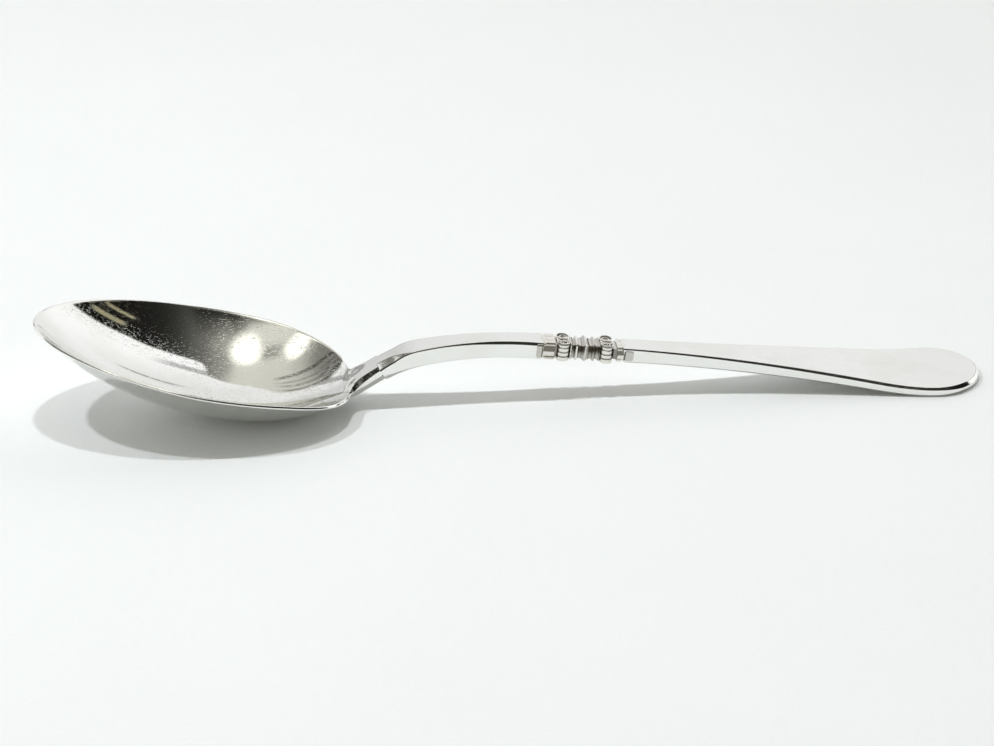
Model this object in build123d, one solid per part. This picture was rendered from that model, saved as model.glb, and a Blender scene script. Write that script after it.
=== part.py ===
from build123d import *
from math import acos, atan2, cos, degrees, hypot, pi, radians, sin, tan
import os

# Sizes are in millimetres and angles in degrees.

# Bowl: lengths lie in the plane of the rim, from the tip to the heel
bowl_length = 46.8
bowl_width = 29.6
bowl_depth = 7.7
bowl_tilt = 14.4
bowl_egg = 0.096  # how much fuller the heel half is than the tip half
bowl_fullness = 2.4  # 2 dishes the bowl as a parabola, more gives it steeper sides
bowl_wall = 0.9
rim_width = 0.85
rest_flat = 0.08  # depth worn off the lowest place, where the bowl stands

# Neck: rises from the heel to the step
neck_length = 3.8
neck_angle = 31.5
neck_width = 4.6
neck_thickness = 2.3
neck_lead = 3.3  # length over which the neck keeps the line of the stem's foot
neck_flare = 2.5  # power with which the neck widens, more leaves it slim for longer
heel_bite = 3.5  # how far inside the rim the body of the neck runs out

# Stem: a tight bend above the neck passes into a long crest
stem_thickness = 2.5
stem_foot_width = 4.8
stem_waist_width = 3.5
stem_head_width = 3.75
stem_tail = 0.6  # straight length between the crest and the leaves
bend_radius = 15.2
crest_radius = 59
crest_entry = 9  # slope at which the bend passes into the crest
edge_bevel = 0.35

# Ornament: lengths along the stem, each half mirrored about the centre ridge
leaf_length = 2.9
leaf_tip = 1.4  # length of the tips let into the stem and into the handle
leaf_seat = 0.3  # depth of the seat cut for them
leaf_thickness = 0.2
leaf_hollow = 0.12
volute_length = 1.95
volute_width = 3.7
volute_height = 2.75
flute_count = 3
flute_radius = 0.16
eye_radius = 0.36
scroll_depth = 0.12
abacus_length = 0.4
abacus_width = 3.2
abacus_height = 2.5
collar_length = 1.15
collar_width = 3.1
collar_height = 2.6
collar_hollow = 0.2
ridge_length = 1.2
ridge_width = 3.6
ridge_height = 2.75
ridge_bevel = 0.4

# Handle: droops from the leaves, lifts level with the table, ends in a half round
handle_length = 35.5
handle_droop = 2.8
handle_lift_radius = 52
handle_level = 0.3  # level length ahead of the half round
handle_root_width = 3.5
handle_root_thickness = 2.15
handle_width = 13.4
handle_thickness = 1.4
handle_flare = 0.03  # slope of each side where it leaves the leaves
handle_pull = 0.53  # share of the flare over which that slope leads each side
handle_swell = 0.13  # share of the flare over which each side leads up to the widest place

# Joints: tenons in sockets, with room for solder all round
joint_gap = 0.05
tenon_length = 2.4
tenon_width = 1.8
tenon_height = 0.9
tang_width = 1.5
tang_height = 0.8
tang_depth = 3.0

# Where the bowl stands: the lowest place of the keel, found from its slope
tilt = radians(bowl_tilt)
widest = bowl_length * (1 + bowl_egg) / 2
heel_run = bowl_length - widest
lowest = (heel_run * tan(tilt) / (bowl_depth * bowl_fullness)) ** (1 / (bowl_fullness - 1))
tip_height = (
    (widest + lowest * heel_run) * sin(tilt)
    + bowl_depth * (1 - lowest**bowl_fullness) * cos(tilt)
    - rest_flat
)

# The line of the neck and crest, as positions along the spoon and heights over the table
rise = radians(neck_angle)
entry = radians(crest_entry)
heel_x = bowl_length * cos(tilt)
heel_z = tip_height - bowl_length * sin(tilt)
foot_x = heel_x + neck_length * cos(rise)
foot_z = heel_z + neck_length * sin(rise)
crest_x = foot_x + bend_radius * (sin(rise) - sin(entry))
crest_z = foot_z + bend_radius * (cos(entry) - cos(rise))

# The slope of the ornament that brings the end of the handle down onto the table
half_length = leaf_length + volute_length + abacus_length + collar_length + ridge_length / 2
knop_length = 2 * half_length
droop = radians(handle_droop)
droop_radius = handle_length / droop
swing = droop_radius + handle_lift_radius
level_part = crest_radius - droop_radius + swing * cos(droop)
fall_part = stem_tail + knop_length + swing * sin(droop)
height_part = handle_thickness / 2 + handle_lift_radius + crest_radius * cos(entry) - crest_z
slope = acos(height_part / hypot(level_part, fall_part)) - atan2(fall_part, level_part)
slope_angle = degrees(slope)
lift = handle_lift_radius * (slope + droop)
handle_run = handle_length + lift + handle_level + handle_width / 2

knop_x = crest_x + crest_radius * (sin(entry) + sin(slope)) + stem_tail * cos(slope)
knop_z = crest_z + crest_radius * (cos(slope) - cos(entry)) - stem_tail * sin(slope)

bowl_place = Pos(0, 0, tip_height) * Rot(0, bowl_tilt, 0)
foot_place = Pos(foot_x, 0, foot_z) * Rot(0, -neck_angle, 0)
knop_place = Pos(knop_x, 0, knop_z) * Rot(0, slope_angle, 0)
from_left = (Align.MIN, Align.CENTER, Align.CENTER)


def dish(inset, depth, scales):
    sections = []
    length = bowl_length - 2 * inset
    reach = (bowl_width - 2 * inset) / (2 + bowl_egg**2)
    centre = inset + length * (1 + bowl_egg) / 2
    for scale in scales:
        height = depth * (scale**bowl_fullness - 1)
        points = []
        for step in range(24):
            turn = 2 * pi * step / 24
            along = inset + length / 2 * (1 - cos(turn))
            across = reach * sin(turn) * (1 - bowl_egg * cos(turn))
            points.append((centre + scale * (along - centre), scale * across, height))
        sections.append(make_face(Spline(*points, periodic=True)))
    return loft(sections)


def bar(start, end, width, height):
    return Pos(start, 0, 0) * Box(end - start, width, height, align=from_left)


def slot(start, end, width, height):
    return bar(start, end, width + 2 * joint_gap, height + 2 * joint_gap)


def closed_face(upper, lower):
    ends = [Line(upper[0] @ 0, lower[0] @ 0), Line(upper[-1] @ 1, lower[-1] @ 1)]
    return make_face(Curve(upper + lower + ends))


def mirrored_face(edges):
    return closed_face(edges, [mirror(edge, Plane.XZ) for edge in edges])


def bevelled(solid):
    long_edges = []
    for edge in solid.edges():
        along = edge % 0.5
        if abs(along.Z) < 0.7 and abs(along.Y) < 0.99:
            long_edges.append(edge)
    return chamfer(long_edges, edge_bevel)


def heel_wall(across, inset, depth):
    along = 1 - (heel_bite - inset) / (heel_run - inset * (1 - bowl_egg))
    scale = hypot(along, across / (bowl_width / 2 - inset))
    return depth * (scale**bowl_fullness - 1)


def foot_corners():
    half = neck_width / 2
    thick = neck_thickness / 2
    top = [(0, thick), (half - edge_bevel, thick), (half, thick - edge_bevel)]
    return top + [(across, -height) for across, height in reversed(top)]


def heel_corners():
    turn = acos(2 * heel_bite / bowl_length - 1)
    reach = bowl_width / (2 + bowl_egg**2) * sin(turn) * (1 - bowl_egg * cos(turn))
    wing = reach - 2 * rim_width
    sink = bowl_wall / 5
    top = []
    low = []
    for across in (0, wing * 2 / 3, wing):
        top.append((across, heel_wall(across, rim_width, bowl_depth - bowl_wall) - sink))
        low.append((across, heel_wall(across, 0, bowl_depth) + sink))
    return top + low[::-1]


def neck_section(share):
    along = bowl_length - heel_bite
    line = Bezier(
        (foot_x, foot_z),
        (foot_x - neck_lead * cos(rise), foot_z - neck_lead * sin(rise)),
        (along * cos(tilt), tip_height - along * sin(tilt)),
    )
    place = line @ share
    blend = share**neck_flare
    corners = []
    for foot, heel in zip(foot_corners(), heel_corners()):
        across = foot[0] + blend * (heel[0] - foot[0])
        corners.append((across, foot[1] + blend * (heel[1] - foot[1])))
    others = [(-across, height) for across, height in corners[-2:0:-1]]
    outline = make_face(Plane.YZ * Polyline(*corners, *others, close=True))
    lean = neck_angle - blend * (neck_angle + bowl_tilt)
    return Pos(place.X, 0, place.Y) * Rot(0, -lean, 0) * outline


def make_neck():
    return loft([neck_section(share) for share in (0, 0.3, 0.55, 0.8, 1)])


def make_bowl():
    scales = (1, 0.94, 0.85, 0.7, 0.5, 0.3, 0.1)
    outside = bowl_place * dish(0, bowl_depth, scales)
    hollow = bowl_place * dish(rim_width, bowl_depth - bowl_wall, (1.1,) + scales)
    tenon = foot_place * bar(-neck_thickness / 2, tenon_length, tenon_width, tenon_height)
    table = Box(4 * bowl_length, 2 * bowl_width, bowl_depth)
    return outside - hollow + make_neck() + tenon - Pos(0, 0, -bowl_depth / 2) * table


def stem_edge(offset):
    start = (foot_x - offset * sin(rise), foot_z + offset * cos(rise))
    bend = JernArc(start, (cos(rise), sin(rise)), bend_radius + offset, crest_entry - neck_angle)
    crest = JernArc(bend @ 1, bend % 1, crest_radius + offset, -crest_entry - slope_angle)
    return [bend, crest, Line(crest @ 1, crest @ 1 + (crest % 1) * stem_tail)]


def make_stem():
    side = Plane.XZ * closed_face(stem_edge(stem_thickness / 2), stem_edge(-stem_thickness / 2))
    start = foot_x - stem_thickness
    end = knop_x + stem_thickness
    waist = Spline(
        (start, stem_foot_width / 2),
        ((start + end) / 2, stem_waist_width / 2),
        (end, stem_head_width / 2),
    )
    arch = extrude(side, stem_foot_width, both=True) & extrude(mirrored_face([waist]), bowl_length)
    socket = foot_place * slot(-tenon_length, tenon_length + joint_gap, tenon_width, tenon_height)
    seat = bar(-leaf_tip, leaf_tip, stem_head_width - 2 * leaf_seat, stem_thickness - 2 * leaf_seat)
    tang = bar(-leaf_tip, knop_length - leaf_tip + tang_depth, tang_width, tang_height)
    return bevelled(arch) - socket + knop_place * (seat + tang)


def handle_point(run, side):
    bent = slope + max(0, min(run, handle_length)) / droop_radius
    lifted = slope + droop - max(0, min(run - handle_length, lift)) / handle_lift_radius
    angle = min(bent, lifted)
    past = min(run, 0) + max(0, run - handle_length - lift)
    x = knop_x + knop_length * cos(slope) + droop_radius * (sin(bent) - sin(slope))
    z = knop_z - knop_length * sin(slope) - droop_radius * (cos(slope) - cos(bent))
    x += handle_lift_radius * (sin(slope + droop) - sin(lifted)) + past * cos(angle)
    z -= handle_lift_radius * (cos(lifted) - cos(slope + droop)) + past * sin(angle)
    share = max(0, min(1, run / (handle_length + lift)))
    half = (handle_root_thickness + share * (handle_thickness - handle_root_thickness)) / 2
    return x + side * half * sin(angle), z + side * half * cos(angle)


def handle_edge(side):
    runs = [handle_length * step / 4 for step in range(5)]
    runs += [handle_length + lift * step / 4 for step in range(1, 5)]
    curve = Spline(
        *[handle_point(run, side) for run in runs],
        tangents=[(cos(slope), -sin(slope)), (1, 0)],
    )
    return [curve, Line(curve @ 1, handle_point(handle_run, side))]


def handle_outline():
    root = handle_root_width / 2
    half = handle_width / 2
    start = handle_point(0, 0)[0]
    wide = handle_point(handle_run, 0)[0] - half
    flare = wide - start
    pull = handle_pull * flare
    neck = Line((start - handle_root_thickness, root), (start, root))
    side = Bezier(
        (start, root),
        (start + pull, root + handle_flare * pull),
        (wide - handle_swell * flare, half),
        (wide, half),
    )
    tip = JernArc((wide, half), (1, 0), half, -90)
    edges = [neck, side, tip]
    others = [mirror(edge, Plane.XZ) for edge in edges]
    return make_face(Curve(edges + others + [Line(neck @ 0, others[0] @ 0)]))


def make_handle():
    side = Plane.XZ * closed_face(handle_edge(1), handle_edge(-1))
    blade = extrude(side, handle_width, both=True) & extrude(handle_outline(), bowl_length, both=True)
    seat_start = knop_length - leaf_tip
    seat = bar(
        seat_start,
        knop_length + leaf_tip,
        handle_root_width - 2 * leaf_seat,
        handle_root_thickness - 2 * leaf_seat,
    )
    socket = slot(0, seat_start + tang_depth + joint_gap, tang_width, tang_height)
    return bevelled(blade) + knop_place * seat - knop_place * socket


def tang_hole():
    return slot(0, knop_length, tang_width, tang_height)


def moulding(start, length, width, height, swell, curved):
    prisms = []
    for size in (width, height):
        ends = [
            (start, size / 2),
            (start + length / 2, size / 2 + swell),
            (start + length, size / 2),
        ]
        line = ThreePointArc(*ends) if curved else Polyline(*ends)
        prisms.append(extrude(mirrored_face([line]), volute_width, both=True))
    return prisms[0] & Rot(90, 0, 0) * prisms[1]


def leaf_outline(width):
    tip = ThreePointArc((leaf_tip, -width / 2), (0, 0), (leaf_tip, width / 2))
    return make_face(Curve([tip, Line(tip @ 0, tip @ 1)]))


def leaf_sleeve(width, height):
    seat_width = width - 2 * leaf_seat
    seat_height = height - 2 * leaf_seat
    full_width = seat_width + 2 * (joint_gap + leaf_thickness)
    full_height = seat_height + 2 * (joint_gap + leaf_thickness)
    body = moulding(leaf_tip, leaf_length - leaf_tip, full_width, full_height, -leaf_hollow, True)
    flat_tips = extrude(leaf_outline(seat_width), full_height / 2, both=True)
    side_tips = Rot(90, 0, 0) * extrude(leaf_outline(seat_height), full_width / 2, both=True)
    return body + (flat_tips + side_tips - slot(0, leaf_tip, seat_width, seat_height)) - tang_hole()


def volute_block():
    radius = volute_length / 2
    offset = volute_width / 2 - radius
    roll = Cylinder(radius, volute_height)
    for flute in range(flute_count):
        height = volute_height * ((flute + 1) / (flute_count + 1) - 0.5)
        roll -= Pos(0, 0, height) * Torus(radius, flute_radius)
    scroll = Cylinder(radius - flute_radius, scroll_depth) - Cylinder(eye_radius, scroll_depth)
    for face in (-1, 1):
        roll -= Pos(0, 0, face * (volute_height - scroll_depth) / 2) * scroll
    web = Box(volute_length, 2 * offset, volute_height - 2 * scroll_depth)
    block = web + Pos(0, offset, 0) * roll + Pos(0, -offset, 0) * roll
    return Pos(leaf_length + radius, 0, 0) * block - tang_hole()


abacus_at = leaf_length + volute_length
collar_at = abacus_at + abacus_length
ridge_at = collar_at + collar_length
middle = Plane.YZ.offset(half_length)
abacus = bar(abacus_at, collar_at, abacus_width, abacus_height) - tang_hole()
collar = moulding(collar_at, collar_length, collar_width, collar_height, -collar_hollow, True)
collar -= tang_hole()
ridge = moulding(
    ridge_at,
    ridge_length,
    ridge_width - 2 * ridge_bevel,
    ridge_height - 2 * ridge_bevel,
    ridge_bevel,
    False,
)
nodes = {
    "bowl": make_bowl(),
    "stem": make_stem(),
    "lower_leaves": knop_place * leaf_sleeve(stem_head_width, stem_thickness),
    "lower_volutes": knop_place * volute_block(),
    "lower_abacus": knop_place * abacus,
    "lower_collar": knop_place * collar,
    "centre_ridge": knop_place * (ridge - tang_hole()),
    "upper_collar": knop_place * mirror(collar, middle),
    "upper_abacus": knop_place * mirror(abacus, middle),
    "upper_volutes": knop_place * mirror(volute_block(), middle),
    "upper_leaves": knop_place * mirror(leaf_sleeve(handle_root_width, handle_root_thickness), middle),
    "handle": make_handle(),
}

overall_length = handle_point(handle_run, 0)[0]
os.makedirs("parts", exist_ok=True)
for name, solid in nodes.items():
    export_step(Pos(-overall_length / 2, 0, 0) * solid, f"parts/{name}.step")
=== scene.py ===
import bisect
import math

import bmesh
import bpy
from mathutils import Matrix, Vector


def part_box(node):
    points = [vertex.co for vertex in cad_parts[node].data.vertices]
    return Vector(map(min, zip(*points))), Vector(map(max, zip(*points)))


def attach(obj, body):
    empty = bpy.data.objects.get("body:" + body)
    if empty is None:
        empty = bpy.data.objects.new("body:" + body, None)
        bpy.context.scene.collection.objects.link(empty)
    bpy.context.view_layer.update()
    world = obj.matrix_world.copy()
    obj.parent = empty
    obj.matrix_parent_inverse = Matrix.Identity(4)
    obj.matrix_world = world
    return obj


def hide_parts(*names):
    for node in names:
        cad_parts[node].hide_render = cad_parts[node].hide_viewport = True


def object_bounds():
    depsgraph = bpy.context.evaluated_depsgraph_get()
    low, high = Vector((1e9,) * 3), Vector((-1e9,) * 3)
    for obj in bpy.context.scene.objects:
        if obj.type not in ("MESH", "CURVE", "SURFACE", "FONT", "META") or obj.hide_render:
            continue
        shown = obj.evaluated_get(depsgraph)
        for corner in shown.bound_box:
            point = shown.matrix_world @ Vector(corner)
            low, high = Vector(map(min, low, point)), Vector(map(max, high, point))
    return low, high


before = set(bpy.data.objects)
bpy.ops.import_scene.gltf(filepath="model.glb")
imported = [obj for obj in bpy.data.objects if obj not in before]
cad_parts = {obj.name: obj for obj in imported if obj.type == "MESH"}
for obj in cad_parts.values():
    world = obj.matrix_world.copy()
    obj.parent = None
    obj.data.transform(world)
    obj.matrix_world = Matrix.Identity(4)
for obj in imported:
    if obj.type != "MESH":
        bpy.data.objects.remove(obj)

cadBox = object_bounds()
tipX = cadBox[0].x  # the bowl's tip: sizes below are in mm from here
scene = bpy.context.scene
print("frame loaded:", len(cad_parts), "nodes")


# shaping helpers

def mix(a, b, share):
    return a + (b - a) * share


def ease(value, low, high):
    share = max(0.0, min(1.0, (value - low) / (high - low)))
    return share * share * (3 - 2 * share)


def softMin(a, b, reach):
    near = max(reach - abs(a - b), 0) / reach
    return min(a, b) - near * near * reach / 4


def softMax(a, b, reach):
    return -softMin(-a, -b, reach)


# a value read off a list of places, straight from one to the next
def track(value, places):
    for (place, first), (ahead, second) in zip(places, places[1:]):
        if value < ahead:
            return mix(first, second, max(0.0, value - place) / (ahead - place))
    return places[-1][1]


# the same along a smooth curve, level at both ends
def flow(value, places):
    slopes = [0.0] + [(c[1] - a[1]) / (c[0] - a[0]) for a, c in zip(places, places[2:])] + [0.0]
    for (place, first), (ahead, second), leaving, arriving in zip(places, places[1:], slopes, slopes[1:]):
        if value < ahead:
            run = ahead - place
            t = max(0.0, value - place) / run
            bend = leaving * t * (1 - t) ** 2 - arriving * t * t * (1 - t)
            return mix(first, second, t * t * (3 - 2 * t)) + run * bend
    return places[-1][1]


def fromTip(x, y, z):
    return Vector((tipX + x / 1000, y / 1000, max(z, 0) / 1000))


cornerLook = {"most": 0.42, "guard": 0.04, "guardShare": 0.05, "guardWear": 0.3, "wear": 1.0, "steps": 4}


# where a rounded corner begins on one of its legs, and a point just beyond that keeps the flat flat
def cornerStart(corner, leg, reach):
    along = leg.normalized()
    start = corner + along * min(reach, cornerLook["most"] * leg.length)
    guard = start + along * min(cornerLook["guard"], cornerLook["guardShare"] * leg.length)
    return start, (*guard, cornerLook["guardWear"])


# a bent line with its corners rounded
def softLine(points, soft):
    line = []
    for before, corner, after, reach in zip(points, points[1:], points[2:], soft):
        corner = Vector(corner)
        start, guardBefore = cornerStart(corner, Vector(before) - corner, reach)
        end, guardAfter = cornerStart(corner, Vector(after) - corner, reach)
        line.append(guardBefore)
        for step in range(cornerLook["steps"] + 1):
            t = step / cornerLook["steps"]
            bent = start * (1 - t) ** 2 + corner * 2 * t * (1 - t) + end * t * t
            line.append((*bent, cornerLook["wear"]))
        line.append(guardAfter)
    return line


# closed loops of points, skinned one to the next, with both ends filled
def skin(bm, loops, place):
    wear = bm.verts.layers.float["wear"]
    shadeAndTarnish = bm.verts.layers.float["shadeAndTarnish"]
    rows = []
    for loop in loops:
        row = []
        for point in loop:
            vert = bm.verts.new(place(*point[:3]))
            vert[wear] = point[3] if len(point) > 3 else 0.0
            vert[shadeAndTarnish] = point[4] if len(point) > 4 else 0.0
            row.append(vert)
        rows.append(row)
    for first, second in zip(rows, rows[1:]):
        for i in range(len(first)):
            bm.faces.new((first[i - 1], first[i], second[i], second[i - 1])).smooth = True
    for row in (rows[0], rows[-1]):
        bm.faces.new(row).smooth = False


def newSkin():
    bm = bmesh.new()
    bm.verts.layers.float.new("wear")
    bm.verts.layers.float.new("shadeAndTarnish")
    return bm


def finishSkin(name, bm, sharpAngle=40):
    bmesh.ops.remove_doubles(bm, verts=bm.verts, dist=2e-7)
    bmesh.ops.dissolve_degenerate(bm, edges=bm.edges, dist=1e-8)
    bmesh.ops.recalc_face_normals(bm, faces=bm.faces)
    for edge in bm.edges:
        edge.smooth = edge.calc_face_angle(0) < math.radians(sharpAngle)
    mesh = bpy.data.meshes.new(name)
    bm.to_mesh(mesh)
    bm.free()
    piece = bpy.data.objects.new(name, mesh)
    scene.collection.objects.link(piece)
    print(name, "made,", len(mesh.polygons), "faces")
    return piece


# a node with its settings and inputs: a socket is linked, anything else is set
def newNode(tree, kind, values, **settings):
    node = tree.nodes.new(kind)
    for name, value in settings.items():
        setattr(node, name, value)
    for name, value in values.items():
        if isinstance(value, bpy.types.NodeSocket):
            tree.links.new(value, node.inputs[name])
        else:
            node.inputs[name].default_value = value
    return node


# a colour between two others, each a colour or a socket
def tint(tree, share, first, second):
    ends = [(*colour, 1) if isinstance(colour, tuple) else colour for colour in (first, second)]
    node = newNode(tree, "ShaderNodeMix", {"Factor": share, 6: ends[0], 7: ends[1]}, data_type="RGBA")
    return node.outputs[2]


# bowl and neck, drawn on the plane of the rim: u from the tip, v across, w up

bowlSize = {
    "length": 46.8, "width": 29.6, "egg": 0.096, "tilt": 14.4,
    "depth": 7.7, "wall": 0.9, "fullness": 2.4, "rim": 0.45, "lip": 0.3, "edge": 0.07,
    "neckAngle": 31.5, "neckLength": 3.8, "neckWidth": 4.4, "neckThickness": 2.3, "neckBelly": 1.2,
    "topFlare": 0.85, "lowFlare": 1.1, "flareRun": 0.75, "groove": 0.35, "keelHalf": 1.5,
    "edgeRound": 0.05, "footRound": 0.09, "heelTurn": 0.35,
    # how far two surfaces blend where they meet
    "rimBlend": 0.2, "rampBlend": 0.9, "flareBlend": 0.6, "flankBlend": 0.3, "keelBlend": 0.5,
    # by distance from the tip: where the stations lean over to the neck, where its side leaves the rim,
    # where the flare is measured from, and from and to where the hollow, its groove and the keel run up it
    "neckFrom": 44.3, "lipEnd": 45.9, "flareFrom": 46, "flareOnly": 46.2,
    "rampRun": (44.6, 46.4), "grooveRun": (45.2, 48.5), "keelRun": (42.5, 47.2),
    # by distance from the tip: the neck's bevel, and how much wider and higher the rim is at the heel
    "neckBevel": ((44.9, 0.17), (45.5, 0.2), (46, 0.42), (46.5, 0.5), (48.7, 0.42)), "neckSteep": 1.35,
    "heelWider": ((28, 0), (35, 0.27), (39, 0.55), (42, 0.75), (43.6, 0.65), (45.4, 0.15), (46.8, 0)),
    "heelHigher": ((21, 0), (28.5, 0.2), (36, 0.4), (46.5, 0)),
    "stations": 150, "neckStations": 50, "columns": 112, "lowColumns": 72,
}
tilt = math.radians(bowlSize["tilt"])
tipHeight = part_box("bowl")[1].z * 1000
rise = math.radians(bowlSize["neckAngle"])
footX = bowlSize["length"] * math.cos(tilt) + bowlSize["neckLength"] * math.cos(rise)
footZ = tipHeight - bowlSize["length"] * math.sin(tilt) + bowlSize["neckLength"] * math.sin(rise)


def fromRim(u, v, w):
    w += flow(u, bowlSize["heelHigher"]) * max(0, min(1, 1 + w / bowlSize["depth"])) ** 2
    x = u * math.cos(tilt) + w * math.sin(tilt)
    return fromTip(x, v, tipHeight - u * math.sin(tilt) + w * math.cos(tilt))


def onRim(x, z):
    z -= tipHeight
    return x * math.cos(tilt) - z * math.sin(tilt), x * math.sin(tilt) + z * math.cos(tilt)


def eggPoint(turn, inset=bowlSize["edge"]):
    length = bowlSize["length"] - 2 * inset
    reach = (bowlSize["width"] - 2 * inset) / (2 + bowlSize["egg"] ** 2)
    across = reach * math.sin(turn) * (1 - bowlSize["egg"] * math.cos(turn))
    along = inset + length / 2 * (1 - math.cos(turn))
    return along, across + flow(along, bowlSize["heelWider"]) * min(1, math.sin(turn) / bowlSize["heelTurn"])


def eggHalf(u):
    return eggPoint(math.acos(max(-1, min(1, 1 - 2 * u / bowlSize["length"]))))[1]


# height of a dish over the rim plane; every level line is the rim's own egg, made smaller
def makeDish(inset, depth, drop):
    centre = inset + (bowlSize["length"] - 2 * inset) * (1 + bowlSize["egg"]) / 2
    rays = []
    for step in range(1201):
        u, v = eggPoint(math.pi * step / 1200, inset)
        rays.append((math.atan2(max(v, 0), u - centre), math.hypot(u - centre, v)))
    rays.sort()
    angles = [ray[0] for ray in rays]

    def height(u, v):
        angle = math.atan2(abs(v), u - centre)
        i = max(1, min(len(rays) - 1, bisect.bisect(angles, angle)))
        (a0, r0), (a1, r1) = rays[i - 1], rays[i]
        reach = mix(r0, r1, (angle - a0) / max(a1 - a0, 1e-9))
        scale = math.hypot(u - centre, v) / reach
        return depth * (scale ** bowlSize["fullness"] - 1) - drop
    return height


hollow = makeDish(bowlSize["rim"], bowlSize["depth"] - bowlSize["wall"], 0)
outside = makeDish(bowlSize["edge"], bowlSize["depth"] - bowlSize["lip"], bowlSize["lip"])


# a point of the neck's end, above or below its middle line
def neckEnd(height):
    return onRim(footX - height * math.sin(rise), footZ + height * math.cos(rise))


footTop, footSide = neckEnd(bowlSize["neckThickness"] / 2), neckEnd(-0.05)
footLow = neckEnd(-bowlSize["neckBelly"])
neckSlope = math.tan(rise + tilt)
neckFrom, lipEnd = bowlSize["neckFrom"], bowlSize["lipEnd"]
neckHalf, keelHalf = bowlSize["neckWidth"] / 2, bowlSize["keelHalf"]


# the hollow of the bowl runs a little way up the middle of the neck
def bowlTop(u, v):
    size = bowlSize
    dish = softMin(0, hollow(u, v), size["rimBlend"])
    if u < size["rampRun"][0]:
        return dish
    groove = size["groove"] * (1 - ease(u, *size["grooveRun"])) * (1 - ease(abs(v), 0, neckHalf))
    ramp = softMax(dish, footTop[1] + neckSlope * (u - footTop[0]) - groove, size["rampBlend"])
    return mix(dish, ramp, ease(u, *size["rampRun"]))


# half the width at the heel, where the rim flares into the neck
def heelHalf(u, wider):
    size = bowlSize
    flare = neckHalf + size[wider] * math.exp((size["flareFrom"] - u) / size["flareRun"])
    return softMin(eggHalf(u), flare, size["flareBlend"]) if u < size["flareOnly"] else flare


# height of the lower edge of the neck's side
def sideFoot(u):
    if u < lipEnd:
        return -bowlSize["lip"]
    run = footSide[0] - lipEnd
    t = (u - lipEnd) / run
    eased = 3 * t ** 2 - 2 * t ** 3
    return mix(-bowlSize["lip"], footSide[1], eased) + neckSlope * run * (t ** 3 - t ** 2)


def bowlLow(u, v):
    size = bowlSize
    low = outside(u, v)
    if u > size["keelRun"][0]:
        belly = footLow[1] + neckSlope * (u - footLow[0])
        keel = mix(outside(u, 0), belly, ease(u, *size["keelRun"]))
        flank = keel + (sideFoot(u) - keel) * (abs(v) - keelHalf) / (heelHalf(u, "lowFlare") - keelHalf)
        low = softMin(low, softMax(keel, flank, size["flankBlend"]), size["keelBlend"])
    return low


# outward direction of an edge line at each of its points
def edgeNormals(edge, side=1):
    normals = []
    for i in range(len(edge)):
        a, b = edge[max(i - 1, 0)], edge[min(i + 1, len(edge) - 1)]
        du, dv = b[0] - a[0], b[1] - a[1]
        size = math.hypot(du, dv)
        normals.append((-dv / size * side, du / size * side))
    normals[0] = (-side, 0.0)
    return normals


def bowlLoops():
    size = bowlSize
    lastTurn = math.acos(1 - 2 * neckFrom / size["length"])
    topEdge = [eggPoint(lastTurn * i / size["stations"]) for i in range(size["stations"])]
    lowEdge = list(topEdge)
    leans = [0.0] * len(topEdge)
    for i in range(size["neckStations"] + 1):
        share = i / size["neckStations"]
        u = mix(neckFrom, footTop[0], share)
        topEdge.append((u, heelHalf(u, "topFlare")))
        u = mix(neckFrom, footSide[0], share)
        lowEdge.append((u, heelHalf(u, "lowFlare")))
        leans.append(share)
    topOut, lowOut = edgeNormals(topEdge), edgeNormals(lowEdge)
    loops = []
    for top, low, out, outLow, lean in zip(topEdge, lowEdge, topOut, lowOut, leans):
        bevel = track(top[0], size["neckBevel"])
        soft, footRound = size["edgeRound"], size["footRound"]

        def topPoint(inset):
            u, v = top[0] - inset * out[0], top[1] - inset * out[1]
            return u, v, bowlTop(u, v)
        first = topPoint(bevel + soft)
        upper = topPoint(bevel)
        turn = lean * (rise + tilt)
        fall = bevel * mix(1, size["neckSteep"], ease(lean, 0.3, 0.5))
        side = (top[0] + fall * math.sin(turn), top[1], upper[2] - fall * math.cos(turn))
        foot = (low[0], low[1], sideFoot(low[0]))
        under = (low[0] - footRound * outLow[0], low[1] - footRound * outLow[1])
        under = (*under, bowlLow(*under))
        right = softLine([first, upper, side, foot, under], [soft, soft, footRound])
        loop = []
        for j in range(size["columns"] + 1):
            v = first[1] * math.sin(math.pi * (j / size["columns"] - 0.5))
            loop.append((first[0], v, bowlTop(first[0], v)))
        loop += right
        spare = lean * (footLow[0] - footSide[0])
        for j in range(size["lowColumns"] + 1):
            v = under[1] * math.sin(math.pi * (0.5 - j / size["lowColumns"]))
            flat = 1 - max(0, abs(v) - keelHalf) / max(under[1] - keelHalf, 0.01)
            u = under[0] + spare * min(1, flat)
            loop.append((u, v, bowlLow(u, v)))
        loop += [(p[0], -p[1], p[2], p[3]) for p in reversed(right)]
        loops.append(loop)
    return loops


bm = newSkin()
skin(bm, bowlLoops(), fromRim)
bowl = finishSkin("spoonBowl", bm)


# stem: a bevelled bar along two arcs

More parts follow.
